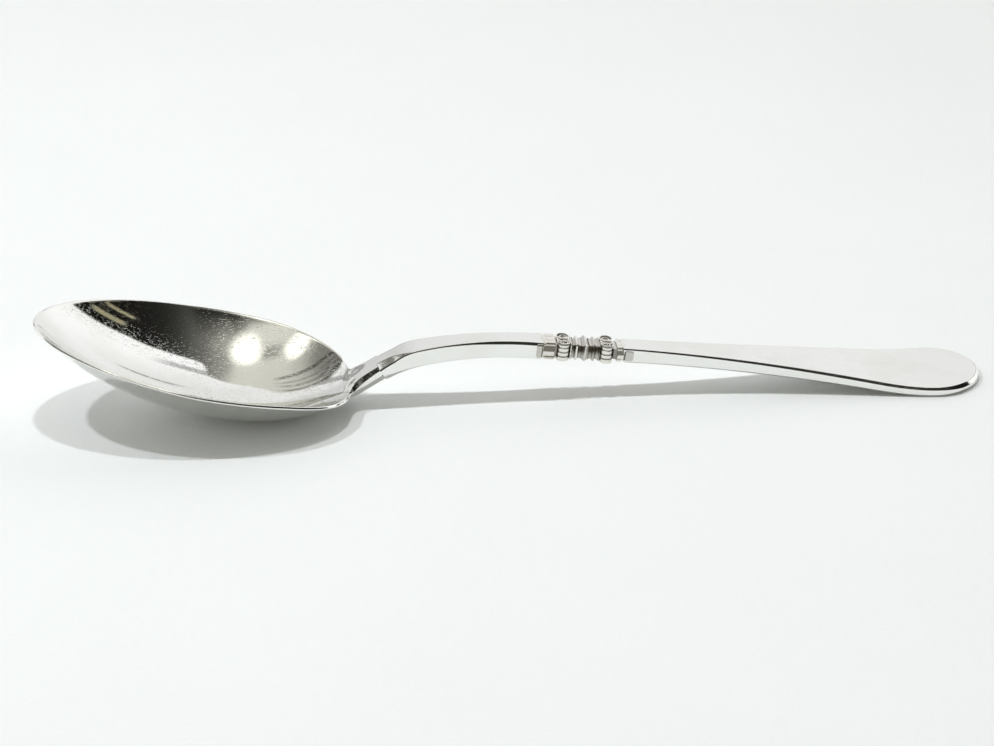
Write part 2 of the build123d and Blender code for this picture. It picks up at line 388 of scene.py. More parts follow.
stemSize = {
    "footWidth": 4.8, "waistWidth": 3.5, "headWidth": 3.75, "thickness": 2.5,
    "bendRadius": 15.2, "crestRadius": 59, "crestEntry": 9, "slope": 6.3825, "tail": 0.6,
    "underLeaves": 0.95, "edgeRound": 0.05, "topRound": 0.09, "stations": 80,
    # bevels by distance from the foot, where a wider facet lies over the upper ones
    "facet": ((0, 1.15), (2.2, 0.95), (3.6, 0.4), (4.8, 0.1)),
    "facetFall": 0.49, "facetSeamShade": 0.8, "seamFall": 0.15, "steep": 1.35,
    "topBevel": ((0, 0.17), (3.6, 0.13), (9.5, 0.14), (11, 0.17), (13.8, 0.22), (16.6, 0.3)),
    "lowBevel": ((0, 0.55), (1.5, 0.36), (3.5, 0.2), (6, 0.12)),
    "lowRise": ((0, 0.95), (1.5, 0.55), (3.5, 0.28), (6, 0.14)),
}
entry = math.radians(stemSize["crestEntry"])
slope = math.radians(stemSize["slope"])
bendRun = stemSize["bendRadius"] * (rise - entry)
crestRun = stemSize["crestRadius"] * (entry + slope)


def alongArc(x, z, radius, start, angle):
    return (x + radius * (math.sin(start) - math.sin(angle)),
            z + radius * (math.cos(angle) - math.cos(start)))


crestX, crestZ = alongArc(footX, footZ, stemSize["bendRadius"], rise, entry)
tailX, tailZ = alongArc(crestX, crestZ, stemSize["crestRadius"], entry, -slope)
knopX = tailX + stemSize["tail"] * math.cos(slope)
knopZ = tailZ - stemSize["tail"] * math.sin(slope)


def fromStem(run, across, height):
    if run < bendRun:
        angle = rise - run / stemSize["bendRadius"]
        x, z = alongArc(footX, footZ, stemSize["bendRadius"], rise, angle)
    elif run < bendRun + crestRun:
        angle = entry - (run - bendRun) / stemSize["crestRadius"]
        x, z = alongArc(crestX, crestZ, stemSize["crestRadius"], entry, angle)
    else:
        angle = -slope
        past = run - bendRun - crestRun
        x, z = tailX + past * math.cos(slope), tailZ - past * math.sin(slope)
    return fromTip(x - height * math.sin(angle), across, z + height * math.cos(angle))


# outline of a bevelled bar: half its width and height, its facet, upper bevel, and the lower bevel's two legs
def barLoop(run, width, height, facet, bevel, low, lowRise):
    size = stemSize
    fall = size["facetFall"] * (facet - size["facet"][-1][1])
    corners = [(width - bevel - facet, height), (width - bevel, height - fall),
               (width, height - fall - bevel * size["steep"]),
               (width, lowRise - height), (width - low, -height)]
    corners += [(-v, h) for v, h in reversed(corners)]
    ring = [(run, v, h) for v, h in corners]
    soft = [size["edgeRound"]] * len(ring)
    soft[0] = soft[-1] = size["topRound"]
    line = softLine([ring[-1]] + ring + [ring[0]], soft)
    each = len(line) // len(ring)
    # painted shade: a dark line where the facet meets the top, standing in for the shade at that crease
    seam = size["facetSeamShade"] * min(1, fall / size["seamFall"])  # a dark line where the facet meets the top
    for start in (0, len(line) - each):
        for i in range(each):
            line[start + i] = (*line[start + i][:3], 0.0, seam if 0 < i < each - 1 else 0.0)
    return line


def stemLoops():
    size = stemSize
    total = bendRun + crestRun + size["tail"] + size["underLeaves"]
    loops = []
    for i in range(size["stations"] + 1):
        run = total * i / size["stations"]
        t = run / total
        width = (size["footWidth"] * (1 - t) * (1 - 2 * t) + size["waistWidth"] * 4 * t * (1 - t)
                 + size["headWidth"] * t * (2 * t - 1))
        bevels = [track(run, size[name]) for name in ("facet", "topBevel", "lowBevel", "lowRise")]
        loops.append(barLoop(run, width / 2, size["thickness"] / 2, *bevels))
    return loops


bm = newSkin()
skin(bm, stemLoops(), fromStem)
stem = finishSkin("archedStem", bm)


# handle: a flat blade that widens to a rounded end

handleSize = {
    "length": 35.5, "droop": 2.8, "liftRadius": 52, "level": 0.3,
    "rootWidth": 3.5, "rootThickness": 2.15, "width": 13.4, "thickness": 1.4,
    "flare": 0.03, "pull": 0.53, "swell": 0.13,
    "underLeaves": 1.4, "edgeRound": 0.04, "endRound": 0.1, "endGap": 0.005,
    "columns": 30, "endSteps": 60, "sideSteps": 90, "rootSteps": 4, "lineSteps": 300,
    # bevel by distance from the leaves, and how steep it is
    "bevel": ((0, 0.15), (12, 0.22), (30, 0.3), (44, 0.3), (47, 0.42), (50, 0.48)),
    "steep": ((0, 1.2), (47.5, 1.2), (50, 0.8)), "endSeamShade": (0.4, 0.85),
}
knopLength = 14.0
droop = math.radians(handleSize["droop"])
droopRadius = handleSize["length"] / droop
liftRun = handleSize["liftRadius"] * (slope + droop)
handleRun = handleSize["length"] + liftRun + handleSize["level"] + handleSize["width"] / 2


def handlePoint(run, side):
    size = handleSize
    bent = slope + max(0, min(run, size["length"])) / droopRadius
    lifted = slope + droop - max(0, min(run - size["length"], liftRun)) / size["liftRadius"]
    angle = min(bent, lifted)
    past = min(run, 0) + max(0, run - size["length"] - liftRun)
    x = knopX + knopLength * math.cos(slope) + droopRadius * (math.sin(bent) - math.sin(slope))
    z = knopZ - knopLength * math.sin(slope) - droopRadius * (math.cos(slope) - math.cos(bent))
    x += size["liftRadius"] * (math.sin(slope + droop) - math.sin(lifted)) + past * math.cos(angle)
    z -= size["liftRadius"] * (math.cos(lifted) - math.cos(slope + droop)) + past * math.sin(angle)
    share = max(0, min(1, run / (size["length"] + liftRun)))
    thick = mix(size["rootThickness"], size["thickness"], share) / 2
    return x + side * thick * math.sin(angle), z + side * thick * math.cos(angle)


# height of the top or the underside over a place along the spoon
def heightLine(side):
    steps = handleSize["lineSteps"]
    line = [handlePoint(-2 + (handleRun + 3) * i / steps, side) for i in range(steps + 1)]
    places = [point[0] for point in line]

    def height(x):
        i = max(1, min(len(line) - 1, bisect.bisect(places, x)))
        (x0, z0), (x1, z1) = line[i - 1], line[i]
        return mix(z0, z1, (x - x0) / (x1 - x0))
    return height


def handleEdge():
    size = handleSize
    root, wide = size["rootWidth"] / 2, size["width"] / 2
    start = handlePoint(0, 0)[0]
    widest = handlePoint(handleRun, 0)[0] - wide - size["endGap"]
    flare = widest - start
    pull = size["pull"] * flare
    edge = []
    for i in range(size["endSteps"] + 1):
        turn = math.pi / 2 * i / size["endSteps"]
        edge.append((widest + wide * math.cos(turn), wide * math.sin(turn)))
    controls = [(widest, wide), (widest - size["swell"] * flare, wide),
                (start + pull, root + size["flare"] * pull), (start, root)]
    for i in range(1, size["sideSteps"] + 1):
        t = i / size["sideSteps"]
        weights = [(1 - t) ** 3, 3 * t * (1 - t) ** 2, 3 * t * t * (1 - t), t ** 3]
        edge.append(tuple(sum(k * p[n] for k, p in zip(weights, controls)) for n in (0, 1)))
    for i in range(1, size["rootSteps"] + 1):
        edge.append((start - size["underLeaves"] * i / size["rootSteps"], root))
    return edge


def handleLoops():
    size = handleSize
    above, below = heightLine(1), heightLine(-1)
    edge = handleEdge()
    start, soft = handlePoint(0, 0)[0], size["edgeRound"]
    loops = []
    for (x, y), out in zip(edge, edgeNormals(edge, -1)):
        bevel = track(x - start, size["bevel"])
        drop = bevel * track(x - start, size["steep"])
        atEnd = ease(out[0], 0.5, 0.75)

        def inner(inset):
            return x - inset * out[0], y - inset * out[1]
        first, upper = inner(bevel + soft), inner(bevel)
        right = softLine(
            [(*first, above(first[0])), (*upper, above(upper[0])), (x, y, above(x) - drop),
             (x, y, below(x) + drop), (*upper, below(upper[0])), (*first, below(first[0]))],
            [soft + size["endRound"] * atEnd] + [soft] * 3)
        each = len(right) // 4
        # painted shade: a dark line round the end of the handle, on the bevel's rounding
        nearSeamShade, farSeamShade = (level * atEnd for level in size["endSeamShade"])  # a dark line round the end

        def seamShaded(points, level):
            return [(*p[:4], level if 0 < i < each - 1 else 0.0) for i, p in enumerate(points)]
        sweep = [math.sin(math.pi * (j / size["columns"] - 0.5)) for j in range(size["columns"] + 1)]
        loop = [(first[0], first[1] * turn, above(first[0])) for turn in sweep]
        loop += seamShaded(right, farSeamShade)
        loop += [(first[0], -first[1] * turn, below(first[0])) for turn in sweep]
        loop += [(p[0], -p[1], *p[2:]) for p in reversed(seamShaded(right, nearSeamShade))]
        loops.append(loop)
    return loops


bm = newSkin()
skin(bm, handleLoops(), fromTip)
handle = finishSkin("flatHandle", bm)


# knop: every piece is drawn along the knop's own line, from the stem to the handle

knopSize = {
    "leaf": 2.9, "volute": 1.95, "abacus": 0.4, "collar": 1.15,
    # painted shade: how much a hollow's darkness is cut on its top and underside, and how dark it grows from
    # low to high
    "topShadeCut": 0.78, "underShadeCut": 0.4, "shadeLowHigh": (0.5, 1.6), "shadeHeightRun": (-0.5, 0.7),
}


def fromKnop(run, across, height):
    x = knopX + run * math.cos(slope) + height * math.sin(slope)
    return fromTip(x, across, knopZ - run * math.sin(slope) + height * math.cos(slope))


def fromKnopEnd(run, across, height):
    return fromKnop(knopLength - run, across, height)


# rounded box outline with a point list dense enough to carry relief; p runs -1 to 1 on each side
def wrapLoop(width, height, corner, perSide=18):
    ring = []
    for side, (turnY, turnZ) in enumerate(((0, 1), (1, 0), (0, -1), (-1, 0))):
        flat = (width if turnY == 0 else height) - corner
        reach = height if turnY == 0 else width
        for i in range(perSide + 1):
            p = 2 * i / perSide - 1
            y = turnY * reach + turnZ * p * flat
            z = turnZ * reach - turnY * p * flat
            ring.append((y, z, turnY, turnZ, side, p))
        nextY, nextZ = turnZ, -turnY
        for i in (1, 2, 3):
            a = math.pi / 2 * i / 4
            outY = turnY * math.cos(a) + nextY * math.sin(a)
            outZ = turnZ * math.cos(a) + nextZ * math.sin(a)
            y = (nextY + turnY) * (width - corner) + outY * corner
            z = (nextZ + turnZ) * (height - corner) + outZ * corner
            ring.append((y, z, outY, outZ, side, 1 + i / 4))
    return ring


# hollow darkness (tarnish with painted shade) is kept mostly to the sides: tops and undersides are painted
# lighter
def shaded(dark, outZ):
    return dark * (1 - knopSize["topShadeCut"] * max(0, outZ)) * (1 - knopSize["underShadeCut"] * max(0, -outZ))


def ringLoops(profile, width, height, corner):
    loops = []
    for run, grow, dark in profile:
        loop = []
        for y, z, outY, outZ, side, p in wrapLoop(width, height, corner, 8):
            # painted shade: a ring's sides grow darker towards the top
            heightShade = mix(*knopSize["shadeLowHigh"], ease(z / height, *knopSize["shadeHeightRun"]))
            loop.append((run, y + outY * grow, z + outZ * grow, 0.0, shaded(min(1, dark * heightShade), outZ)))
        loops.append(loop)
    return loops


# leaves: a tablet on each side of the bar, then a ribbed cup, with a veined leaf tip above and below

leafLook = {
    # half the width and height, and where the tablet and the cup end
    "lower": (1.875, 1.25, 0.74, 2.55), "upper": (1.75, 1.075, 1.2, 2.3),
    "corner": 0.42, "raise": 0.07, "sink": -0.17, "stations": 87,
    "tablet": 1.05, "tabletRound": 0.25, "tabletNotch": 0.3, "tabletDark": 0.32,
    "rib": 0.12, "ribAt": 0.12, "facet": 0.5, "upperFacetShade": 0.4, "seam": 0.02, "seamDark": 0.85,
    "tip": 0.65, "tipWide": 1.15, "tipRaise": 0.06, "tipGap": 0.6,
    "vein": 0.08, "veinAt": 0.42, "veinHalf": 0.12, "groove": -0.3, "grooveDark": 0.7,
}


# how far a side of the sleeve stands out, and how dark it is, q going up from -1 to 1
def leafSide(run, q, flat, tablet, cup):
    look = leafLook
    if run < tablet:
        back = max(0, look["tabletRound"] - run) / look["tabletRound"]
        reach = look["tablet"] - look["tabletNotch"] * (1 - math.sqrt(1 - back * back))
        inside = ease(reach - abs(q), -0.08, 0.06)
        return mix(look["sink"], look["raise"], inside), look["tabletDark"] * inside
    lift = look["rib"] - look["facet"] * flat * abs(q - look["ribAt"])
    lift = mix(look["seam"], lift, ease(run, tablet + 0.16, tablet + 0.24))
    # painted shade: the rib's upper facet is darker than its lower one
    upperFacetShade = look["upperFacetShade"] if q > look["ribAt"] else 0.0
    dark = mix(look["seamDark"], upperFacetShade, ease(run, tablet + 0.14, tablet + 0.26))
    shut = ease(run, cup, cup + 0.1)
    return mix(lift, look["groove"], shut), mix(dark, look["grooveDark"], shut)


# the same for its top and underside
def leafTop(run, q, tablet, cup):
    look = leafLook
    reach = look["tipWide"] * max(0, (run - tablet + 0.05) / look["tip"]) ** 0.7
    inside = ease(reach - abs(q), -0.1, 0.08)
    vein = math.exp(-((abs(q) - look["veinAt"]) / look["veinHalf"]) ** 2)
    vein *= ease(run, tablet + 0.4, tablet + 0.6) * ease(cup - 0.1 - run, 0, 0.2)
    lift = mix(look["sink"], look["tipRaise"] - look["vein"] * vein, inside)
    shut = ease(run, cup + 0.1, cup + 0.2)
    return mix(lift, look["groove"], shut), mix(mix(look["tipGap"], vein, inside), 1, shut)


def leafLoops(width, height, tablet, cup):
    corner, stations = leafLook["corner"], leafLook["stations"]
    loops = []
    for i in range(stations + 1):
        run = knopSize["leaf"] * i / stations
        loop = []
        for y, z, outY, outZ, side, p in wrapLoop(width, height, corner):
            share = side % 2 if p <= 1 else abs(side % 2 - (p - 1))  # 1 on a side, 0 on the top
            q = max(-1, min(1, z / (height - corner)))
            onSide = leafSide(run, q, height - corner, tablet, cup)
            onTop = leafTop(run, max(-1, min(1, y / (width - corner))), tablet, cup)
            lift, dark = (mix(top, flank, share) for top, flank in zip(onTop, onSide))
            loop.append((run, y + outY * lift, z + outZ * lift, 0.0, shaded(dark, outZ)))
        loops.append(loop)
    return loops


# scrolls: two upright fluted rolls, with spiral beads and eyes on their ends from geometry nodes

scrollLook = {
    "width": 3.7, "height": 2.75, "flutes": (1.2, 0.66, 0.0, -0.66), "fluteDepth": 0.07, "fluteHalf": 0.11,
    "rim": 0.2, "sunk": 0.25, "turns": 1.25, "bead": 0.13, "eye": 0.16,
    "edgeRound": 0.06, "fluteDark": 0.6, "sideSteps": 72, "roundSteps": 48,
    "webHollow": 0.1, "webDark": 0.5, "webSteps": 8,
}


def rollProfile():
    look = scrollLook
    radius, top = knopSize["volute"] / 2, look["height"] / 2
    inner = radius - look["rim"]
    cap = [(0, top - look["sunk"], 0.9), (inner - 0.04, top - look["sunk"], 1.0),
           (inner, top - look["sunk"] + 0.04, 0.9), (inner + 0.02, top - 0.04, 0.3),
           (inner + 0.05, top, 0.0), (radius - 0.04, top - 0.01, 0.0), (radius - 0.01, top - 0.04, 0.0)]
    side = []
    for i in range(look["sideSteps"] + 1):
        height = mix(top - look["edgeRound"], look["edgeRound"] - top, i / look["sideSteps"])
        cut = max(0, *(1 - ((height - centre) / look["fluteHalf"]) ** 2 for centre in look["flutes"]))
        side.append((radius - look["fluteDepth"] * math.sqrt(cut), height, look["fluteDark"] * cut))
    return cap + side + [(r, -h, dark) for r, h, dark in reversed(cap)]


def rollLoops(across):
    loops = []
    for radius, height, dark in rollProfile():
        loop = []
        for i in range(scrollLook["roundSteps"]):
            turn = 2 * math.pi * i / scrollLook["roundSteps"]
            along = knopSize["leaf"] + knopSize["volute"] / 2 + radius * math.cos(turn)
            loop.append((along, across + radius * math.sin(turn), height, 0.0, dark))
        loops.append(loop)
    return loops


# the hollow web that fills the space between the rolls
def webLoops():
    look = scrollLook
    start = knopSize["leaf"] + look["edgeRound"]
    end = knopSize["leaf"] + knopSize["volute"] - look["edgeRound"]
    wide = look["width"] / 2 - knopSize["volute"] / 2
    profile = []
    for i in range(look["webSteps"] + 1):
        sag = math.sin(math.pi * i / look["webSteps"])
        profile.append((mix(start, end, i / look["webSteps"]), -look["webHollow"] * sag, look["webDark"] * sag))
    return ringLoops(profile, wide, look["height"] / 2 - 0.04, 0.05)


def scrollTree():
    tree = bpy.data.node_groups.new("scrollBeads", "GeometryNodeTree")
    face = tree.interface
    face.new_socket("Geometry", in_out="INPUT", socket_type="NodeSocketGeometry")
    for name in ("Turns", "Outer Radius", "Inner Radius", "Bead", "Eye"):
        face.new_socket(name, in_out="INPUT", socket_type="NodeSocketFloat")
    face.new_socket("Finish", in_out="INPUT", socket_type="NodeSocketMaterial")
    face.new_socket("Geometry", in_out="OUTPUT", socket_type="NodeSocketGeometry")
    sizes = newNode(tree, "NodeGroupInput", {}).outputs
    place = newNode(tree, "GeometryNodeInputPosition", {})
    parts = newNode(tree, "ShaderNodeSeparateXYZ", {0: place.outputs[0]})
    ring = newNode(tree, "GeometryNodeCurvePrimitiveCircle", {"Resolution": 10, "Radius": sizes["Bead"]})
    join = newNode(tree, "GeometryNodeJoinGeometry", {})
    for operation in ("GREATER_THAN", "LESS_THAN"):  # one hand of spiral for each roll
        spiral = newNode(tree, "GeometryNodeCurveSpiral", {
            "Resolution": 40, "Height": 0, "Reverse": operation == "LESS_THAN", "Rotations": sizes["Turns"],
            "Start Radius": sizes["Inner Radius"], "End Radius": sizes["Outer Radius"]})
        wire = newNode(tree, "GeometryNodeCurveToMesh", {
            "Fill Caps": True, "Curve": spiral.outputs[0], "Profile Curve": ring.outputs[0]})
        hand = newNode(tree, "ShaderNodeMath", {0: parts.outputs["Y"], 1: 0}, operation=operation)
        spirals = newNode(tree, "GeometryNodeInstanceOnPoints", {
            "Points": sizes["Geometry"], "Selection": hand.outputs[0], "Instance": wire.outputs[0]})
        tree.links.new(spirals.outputs[0], join.inputs[0])
    ball = newNode(tree, "GeometryNodeMeshUVSphere", {"Segments": 20, "Rings": 10, "Radius": sizes["Eye"]})
    eyes = newNode(tree, "GeometryNodeInstanceOnPoints", {
        "Points": sizes["Geometry"], "Instance": ball.outputs["Mesh"], "Scale": (1, 1, 0.6)})
    tree.links.new(eyes.outputs[0], join.inputs[0])
    real = newNode(tree, "GeometryNodeRealizeInstances", {0: join.outputs[0]})
    smooth = newNode(tree, "GeometryNodeSetShadeSmooth", {"Geometry": real.outputs[0]})
    finish = newNode(tree, "GeometryNodeSetMaterial", {
        "Geometry": smooth.outputs[0], "Material": sizes["Finish"]})
    newNode(tree, "NodeGroupOutput", {0: finish.outputs[0]})
    return tree


# the beads of one block, still in mm on the knop's own line
def scrollBeads(tree, finish):
    look = scrollLook
    across = look["width"] / 2 - knopSize["volute"] / 2
    height = look["height"] / 2 - look["sunk"] + 0.03
    along = knopSize["leaf"] + knopSize["volute"] / 2
    points = bpy.data.meshes.new("scrollPlaces")
    points.from_pydata([(along, side * across, face * height) for side in (-1, 1) for face in (-1, 1)], [], [])
    holder = bpy.data.objects.new("scrollPlaces", points)
    scene.collection.objects.link(holder)
    modifier = holder.modifiers.new("beads", "NODES")
    modifier.node_group = tree
    values = {"Turns": look["turns"], "Outer Radius": knopSize["volute"] / 2 - look["rim"] - 0.08,
              "Inner Radius": look["eye"] + 0.06, "Bead": look["bead"], "Eye": look["eye"], "Finish": finish}
    for socket in tree.interface.items_tree:
        if socket.in_out == "INPUT" and socket.name in values:
            modifier[socket.identifier] = values[socket.name]
    made = holder.evaluated_get(bpy.context.evaluated_depsgraph_get())
    mesh = bpy.data.meshes.new_from_object(made)
    bpy.data.objects.remove(holder)
    return mesh


def makeVolutes(name, place, beads):
    bm = newSkin()
    across = scrollLook["width"] / 2 - knopSize["volute"] / 2
    for side in (-1, 1):
        skin(bm, rollLoops(side * across), place)
    skin(bm, webLoops(), place)
    added = bmesh.new()
    added.from_mesh(beads)
    for vert in added.verts:
        vert.co = place(*vert.co)
    placed = bpy.data.meshes.new("placedBeads")
    added.to_mesh(placed)
    added.free()
    bm.from_mesh(placed)
    bpy.data.meshes.remove(placed)
    return finishSkin(name, bm, 50)


def makeRing(name, place, loops):
    bm = newSkin()
    skin(bm, loops, place)
    return finishSkin(name, bm, 32)


# rings: the profiles run along the knop, with the place, how far it stands out and how dark the hollow is

abacusAt = knopSize["leaf"] + knopSize["volute"]
collarAt = abacusAt + knopSize["abacus"]
ridgeAt = collarAt + knopSize["collar"]
ringLook = {
    "abacus": {"start": abacusAt, "half": (1.6, 1.25), "corner": 0.3, "profile": (
        (0, -0.1, 0.4), (0.03, -0.03, 0), (0.06, 0, 0), (0.14, 0, 0), (0.18, -0.05, 0.5), (0.22, -0.12, 0.9),
        (0.3, -0.18, 0.7), (0.4, -0.22, 0.6))},
    "collar": {"start": collarAt, "half": (1.55, 1.3), "corner": 0.45, "profile": (
        (0, -0.2, 0.6), (0.1, -0.26, 0.8), (0.2, -0.28, 1), (0.28, -0.22, 0.9), (0.33, -0.1, 0.5),
        (0.37, -0.02, 0.1), (0.43, 0.04, 0), (0.52, 0.06, 0), (0.62, 0.04, 0), (0.68, -0.02, 0.1),
        (0.72, -0.1, 0.6), (0.77, -0.2, 1), (0.85, -0.26, 1), (1.0, -0.26, 0.9), (1.15, -0.24, 0.9))},
    "ridge": {"start": ridgeAt, "half": (1.8, 1.375), "corner": 0.42, "profile": (
        (0, -0.5, 0.9), (0.06, -0.44, 0.9), (0.3, -0.24, 0.85), (0.5, -0.08, 0.6), (0.56, -0.03, 0.2),
        (0.6, -0.005, 0), (0.64, -0.03, 0.1), (0.7, -0.08, 0.25), (0.9, -0.24, 0.3), (1.14, -0.44, 0.4),
        (1.2, -0.5, 0.5))},
}


# one ring's loops, at least as tarnished as asked
def turned(ring, least=0.0):
    look = ringLook[ring]
    profile = [(look["start"] + run, grow, max(dark, least)) for run, grow, dark in look["profile"]]
    return ringLoops(profile, *look["half"], look["corner"])


# finishes

def silver(name, look):
    material = bpy.data.materials.new(name)
    material.use_nodes = True
    tree = material.node_tree
    shader = tree.nodes["Principled BSDF"]
    shader.inputs["Metallic"].default_value = 1.0
    where = newNode(tree, "ShaderNodeTexCoord", {}).outputs["Object"]

    def noise(scale, detail, turn=0.0, roughness=0.5):
        mapping = newNode(tree, "ShaderNodeMapping", {
            "Vector": where, "Rotation": (0, 0, math.radians(turn)), "Scale": scale})
        texture = newNode(tree, "ShaderNodeTexNoise", {
            "Vector": mapping.outputs[0], "Scale": 1, "Detail": detail, "Roughness": roughness})
        return texture.outputs["Fac"]

    def spread(value, low, high, outLow, outHigh):
        return newNode(tree, "ShaderNodeMapRange", {
            "Value": value, "From Min": low, "From Max": high, "To Min": outLow, "To Max": outHigh}).outputs[0]

    def join(operation, a, b):
        return newNode(tree, "ShaderNodeMath", {0: a, 1: b}, operation=operation).outputs[0]

    def held(attribute):
        return newNode(tree, "ShaderNodeAttribute", {}, attribute_name=attribute).outputs["Fac"]

    # hairline scratches run in a few directions; the mottling is what handling leaves between them
    lines = None
    for turn, along, across in look["scratches"]:
        streaks = noise((along, across, across), 2, turn)
        layer = spread(streaks, look["scratchFrom"], look["scratchFrom"] + look["scratchFade"], 0, 1)
        lines = layer if lines is None else join("MAXIMUM", lines, layer)
    cloudy = noise((look["mottle"],) * 3, 4)
    fine = noise((look["grain"],) * 3, 3, roughness=0.6)
    tarnish = spread(noise((look["tarnish"],) * 3, 3), *look["tarnishRange"], 0, 1)
    colour = tint(tree, tarnish, look["bright"], look["warm"])
    colour = tint(tree, held("wear"), colour, look["edge"])
    # the darkening by this attribute is tarnish in the knop's hollows plus painted shade: dark lines along the
    # stem's facet and round the handle's end, and darker sides and upper facets on the knop
    colour = tint(tree, held("shadeAndTarnish"), colour, look["dark"])
    tree.links.new(colour, shader.inputs["Base Color"])
    rough = spread(cloudy, *look["mottleRange"], *look["roughness"])
    rough = join("ADD", rough, spread(lines, 0, 1, 0, look["scratchRough"]))
    rough = join("ADD", rough, spread(held("shadeAndTarnish"), 0, 1, 0, look["recessRough"]))
    tree.links.new(rough, shader.inputs["Roughness"])
    relief = spread(lines, 0, 1, 0, -look["scratchDepth"])
    relief = join("ADD", relief, spread(fine, 0, 1, 0, look["grainHeight"]))
    relief = join("ADD", relief, spread(cloudy, 0, 1, 0, look["waveHeight"]))
    bump = newNode(tree, "ShaderNodeBump", {
        "Height": relief, "Strength": look["bump"], "Distance": look["bumpHeight"]})
    tree.links.new(bump.outputs[0], shader.inputs["Normal"])
    return material


polishedLook = {
    "bright": (0.86, 0.865, 0.845), "warm": (0.79, 0.79, 0.755),
    "edge": (0.93, 0.93, 0.915), "dark": (0.2, 0.18, 0.15),
    "roughness": (0.04, 0.08), "scratchRough": 0.08, "recessRough": 0.25,
    "mottle": 700, "mottleRange": (0.35, 0.7), "grain": 5200, "tarnish": 160, "tarnishRange": (0.4, 0.75),
    "grainHeight": 0.5, "waveHeight": 1.0, "bump": 0.35, "bumpHeight": 0.00001,
    "scratchFrom": 0.61, "scratchFade": 0.1, "scratchDepth": 0.6,
    # the turn of each run of scratches, and its scale along and across them
    "scratches": ((12, 260, 7000), (-35, 220, 6000), (78, 200, 6500), (140, 240, 5500)),
}
bowlLook = dict(polishedLook, roughness=(0.02, 0.05), scratchRough=0.12, grainHeight=0.35, waveHeight=0.15,
                scratchFrom=0.65, scratchDepth=1.8,
                scratches=((12, 1300, 5200), (-35, 1500, 5600), (78, 1200, 4800), (140, 1400, 5200)))
ornamentLook = dict(polishedLook, bright=(0.84, 0.825, 0.785), warm=(0.74, 0.705, 0.63),
                    dark=(0.06, 0.049, 0.033), roughness=(0.1, 0.2), grainHeight=1.2)
bowlFinish = silver("wornBowlSilver", bowlLook)
barFinish = silver("polishedSilver", polishedLook)
ornamentFinish = silver("castOrnamentSilver", ornamentLook)

beads = scrollBeads(scrollTree(), ornamentFinish)
pieces = {"bowl": bowl, "stem": stem, "handle": handle}
pieces["centre_ridge"] = makeRing("centreRidge", fromKnop, turned("ridge"))
for end, place, tarnish in (("lower", fromKnop, 0.0), ("upper", fromKnopEnd, 0.75)):
    pieces[end + "_leaves"] = makeRing(end + "Leaves", place, leafLoops(*leafLook[end]))
    pieces[end + "_volutes"] = makeVolutes(end + "Scrolls", place, beads)
    pieces[end + "_abacus"] = makeRing(end + "Abacus", place, turned("abacus", tarnish))
    pieces[end + "_collar"] = makeRing(end + "Collar", place, turned("collar", tarnish))
bpy.data.meshes.remove(beads)

for node, piece in pieces.items():
    plain = node in ("bowl", "stem", "handle")
    piece.data.materials.clear()
    piece.data.materials.append(bowlFinish if node == "bowl" else barFinish if plain else ornamentFinish)
    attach(piece, "root")
    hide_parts(node)
print("pieces finished:", len(pieces))


# white cloth to lie on

clothLook = {
    "tones": ((0.9, 0.912, 0.908), (0.93, 0.942, 0.937)), "cloud": 30,
    "weave": 1700, "threads": 0.35, "threadHeight": 0.0002, "reach": 3,
}


def clothFinish():
    look = clothLook
    material = bpy.data.materials.new("whiteCloth")
    material.use_nodes = True
    tree = material.node_tree
    shader = tree.nodes["Principled BSDF"]
    shader.inputs["Roughness"].default_value = 1.0
    shader.inputs["Specular IOR Level"].default_value = 0.0
    where = newNode(tree, "ShaderNodeTexCoord", {}).outputs["Object"]
    cloud = newNode(tree, "ShaderNodeTexNoise", {"Vector": where, "Scale": look["cloud"]})
    weave = newNode(tree, "ShaderNodeTexNoise", {"Vector": where, "Scale": look["weave"], "Detail": 3})
    threads = newNode(tree, "ShaderNodeBump", {
        "Height": weave.outputs["Fac"], "Strength": look["threads"], "Distance": look["threadHeight"]})
    tree.links.new(tint(tree, cloud.outputs["Fac"], *look["tones"]), shader.inputs["Base Color"])
    tree.links.new(threads.outputs[0], shader.inputs["Normal"])
    return material


floorMesh = bpy.data.meshes.new("cloth")
reach = clothLook["reach"]
corners = [(-reach, -reach, 0), (reach, -reach, 0), (reach, reach, 0), (-reach, reach, 0)]
floorMesh.from_pydata(corners, [], [(0, 1, 2, 3)])
floor = bpy.data.objects.new("cloth", floorMesh)
floorMesh.materials.append(clothFinish())
scene.collection.objects.link(floor)


# the room the silver mirrors: white walls at the back, a nearer part that goes dark to the right
# directions are x to the right, y to the back, z up; the lists run from left to right

